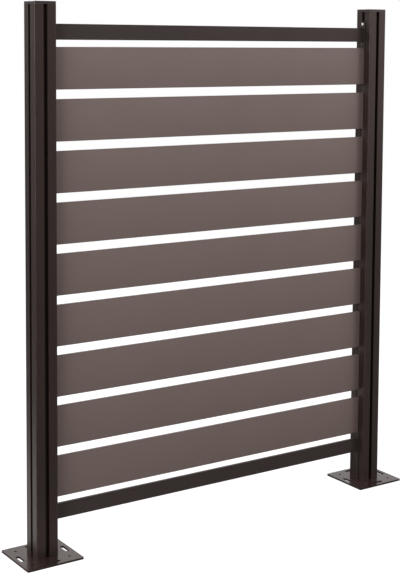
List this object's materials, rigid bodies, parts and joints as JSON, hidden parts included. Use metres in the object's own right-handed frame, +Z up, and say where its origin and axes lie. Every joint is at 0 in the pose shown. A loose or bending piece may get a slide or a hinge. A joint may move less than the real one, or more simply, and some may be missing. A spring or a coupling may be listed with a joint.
{
  "type": "garden privacy screen",
  "caption": "Free-standing slatted garden privacy screen: wide level slats between two grooved posts on square base plates, with a narrow top and bottom rail.",
  "frame": {"origin": "on the floor, midway between the two posts and in the middle plane of the slats", "axes": "+Z up, +X along the screen from the left post to the right post as seen from the front, -Y towards the front"},
  "size_m": [1.571, 0.2, 1.8],
  "materials": {
    "post_coating": "satin powder coating, dark brown",
    "cap_coating": "satin powder coating, dark brown",
    "plate_coating": "semi-gloss powder coating, dark brown",
    "bracket_coating": "satin powder coating, dark brown",
    "rail_coating": "matte powder coating, dark brown",
    "slat_coating": "fine matte powder coating, grey-brown",
    "spacer_plastic": "matte moulded plastic, dark brown",
    "stainless_screw": "plain stainless steel"
  },
  "bodies": {
    "root": {"left_post": "post_coating", "left_post_cap": "cap_coating", "left_base_plate": "plate_coating", "left_top_bracket": "bracket_coating", "left_rail_support": "bracket_coating", "right_post": "post_coating", "right_post_cap": "cap_coating", "right_base_plate": "plate_coating", "right_top_bracket": "bracket_coating", "right_rail_support": "bracket_coating", "base_screws": "stainless_screw", "bracket_screws": "stainless_screw", "top_rail": "rail_coating", "bottom_rail": "rail_coating", "slat_1": "slat_coating", "slat_2": "slat_coating", "slat_3": "slat_coating", "slat_4": "slat_coating", "slat_5": "slat_coating", "slat_6": "slat_coating", "slat_7": "slat_coating", "slat_8": "slat_coating", "slat_9": "slat_coating", "left_spacer_1": "spacer_plastic", "left_spacer_2": "spacer_plastic", "left_spacer_3": "spacer_plastic", "left_spacer_4": "spacer_plastic", "left_spacer_5": "spacer_plastic", "left_spacer_6": "spacer_plastic", "left_spacer_7": "spacer_plastic", "left_spacer_8": "spacer_plastic", "right_spacer_1": "spacer_plastic", "right_spacer_2": "spacer_plastic", "right_spacer_3": "spacer_plastic", "right_spacer_4": "spacer_plastic", "right_spacer_5": "spacer_plastic", "right_spacer_6": "spacer_plastic", "right_spacer_7": "spacer_plastic", "right_spacer_8": "spacer_plastic"}
  },
  "joints": []
}
